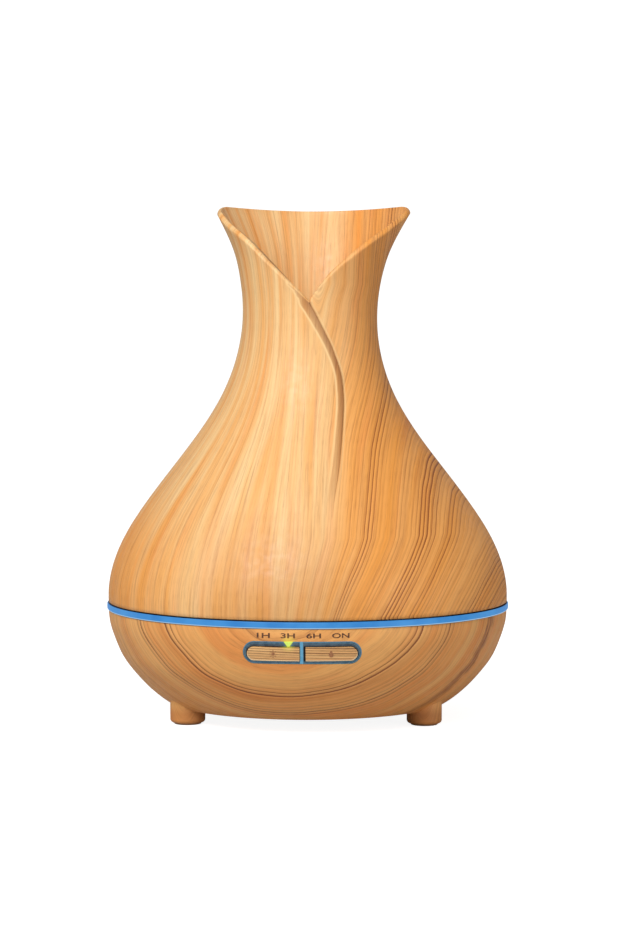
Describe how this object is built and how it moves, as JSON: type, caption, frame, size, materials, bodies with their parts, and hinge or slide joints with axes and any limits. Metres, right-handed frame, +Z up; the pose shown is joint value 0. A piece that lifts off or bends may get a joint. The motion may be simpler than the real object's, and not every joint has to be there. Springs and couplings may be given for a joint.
{
  "type": "essential oil diffuser",
  "caption": "Vase-shaped ultrasonic aroma diffuser with a lift-off wood-grain cover, a petal mouth, a glowing ring round its waist, push buttons and short feet.",
  "frame": {"origin": "on the floor under the centre of the base", "axes": "+Z up, the button panel faces -Y, +X to the viewer's right"},
  "size_m": [0.168, 0.168, 0.2132],
  "materials": {
    "wood_print_cover": "satin printed wood grain",
    "wood_print_base": "satin printed wood grain",
    "wood_print_button": "satin printed wood grain",
    "white_plastic": "smooth white polypropylene",
    "light_ring": "translucent, lit blue from inside",
    "bezel": "translucent blue-grey",
    "beige_plastic": "fine moulded texture",
    "rubber": "matt",
    "silicone": "soft silicone",
    "foam": "foam",
    "black_plastic": "moulded",
    "header_plastic": "moulded nylon",
    "circuit_board": "green solder mask",
    "steel": "zinc plated",
    "brass": "satin",
    "disc_metal": "plated disc",
    "copper": "enamelled copper wire",
    "ferrite": "ferrite and copper wire",
    "chip": "moulded epoxy",
    "aluminium": "satin",
    "led": "clear lamp",
    "indicator": "clear lamp",
    "lead_insulation": "vinyl insulation"
  },
  "bodies": {
    "housing": {"base_shell": "wood_print_base", "foot_pads": "rubber", "bottom_plate": "beige_plastic", "housing_screws": "steel", "light_ring": "light_ring", "ring_led_board": "circuit_board", "ring_leds": "led", "water_tank": "white_plastic", "air_outlet_hood": "white_plastic", "ultrasonic_disc": "disc_metal", "disc_seal": "silicone", "disc_retainer": "black_plastic", "retainer_screws": "steel", "fan_frame": "black_plastic", "fan_bearing": "brass", "fan_coil": "copper", "air_duct": "black_plastic", "duct_gasket": "foam", "fan_screws": "steel", "main_board": "circuit_board", "board_screws": "steel", "controller_chip": "chip", "power_inductor": "ferrite", "capacitors": "aluminium", "heat_sink": "aluminium", "power_transistor": "chip", "wire_headers": "header_plastic", "disc_lead": "lead_insulation", "fan_lead": "lead_insulation", "socket_lead": "lead_insulation", "button_lead": "lead_insulation", "ring_led_lead": "lead_insulation", "button_frame": "bezel", "light_switch_body": "black_plastic", "mist_switch_body": "black_plastic", "button_board": "circuit_board", "button_board_screws": "steel", "indicator_leds": "indicator", "dc_socket": "black_plastic", "dc_centre_pin": "brass", "dc_socket_nut": "steel"},
    "cover": {"cover_shell": "wood_print_cover", "mist_funnel": "white_plastic"},
    "light_key": {"light_button": "wood_print_button", "light_switch_plunger": "header_plastic"},
    "mist_key": {"mist_button": "wood_print_button", "mist_switch_plunger": "header_plastic"},
    "rotor": {"fan_rotor": "black_plastic"}
  },
  "joints": [
    {"name": "cover_lift", "type": "slide", "parent": "housing", "child": "cover", "axis": [0, 0, 1], "range_m": [0, 0.08]},
    {"name": "light_press", "type": "slide", "parent": "housing", "child": "light_key", "axis": [0, 1, 0], "range_m": [0, 0.0006], "stiffness_N_per_m": 1500, "springref_m": -0.0003},
    {"name": "mist_press", "type": "slide", "parent": "housing", "child": "mist_key", "axis": [0, 1, 0], "range_m": [0, 0.0006], "stiffness_N_per_m": 1500, "springref_m": -0.0003},
    {"name": "fan_spin", "type": "hinge", "parent": "housing", "child": "rotor", "pos_m": [-0.0335, 0, 0.0145], "axis": [0, 0, 1], "continuous": true}
  ]
}
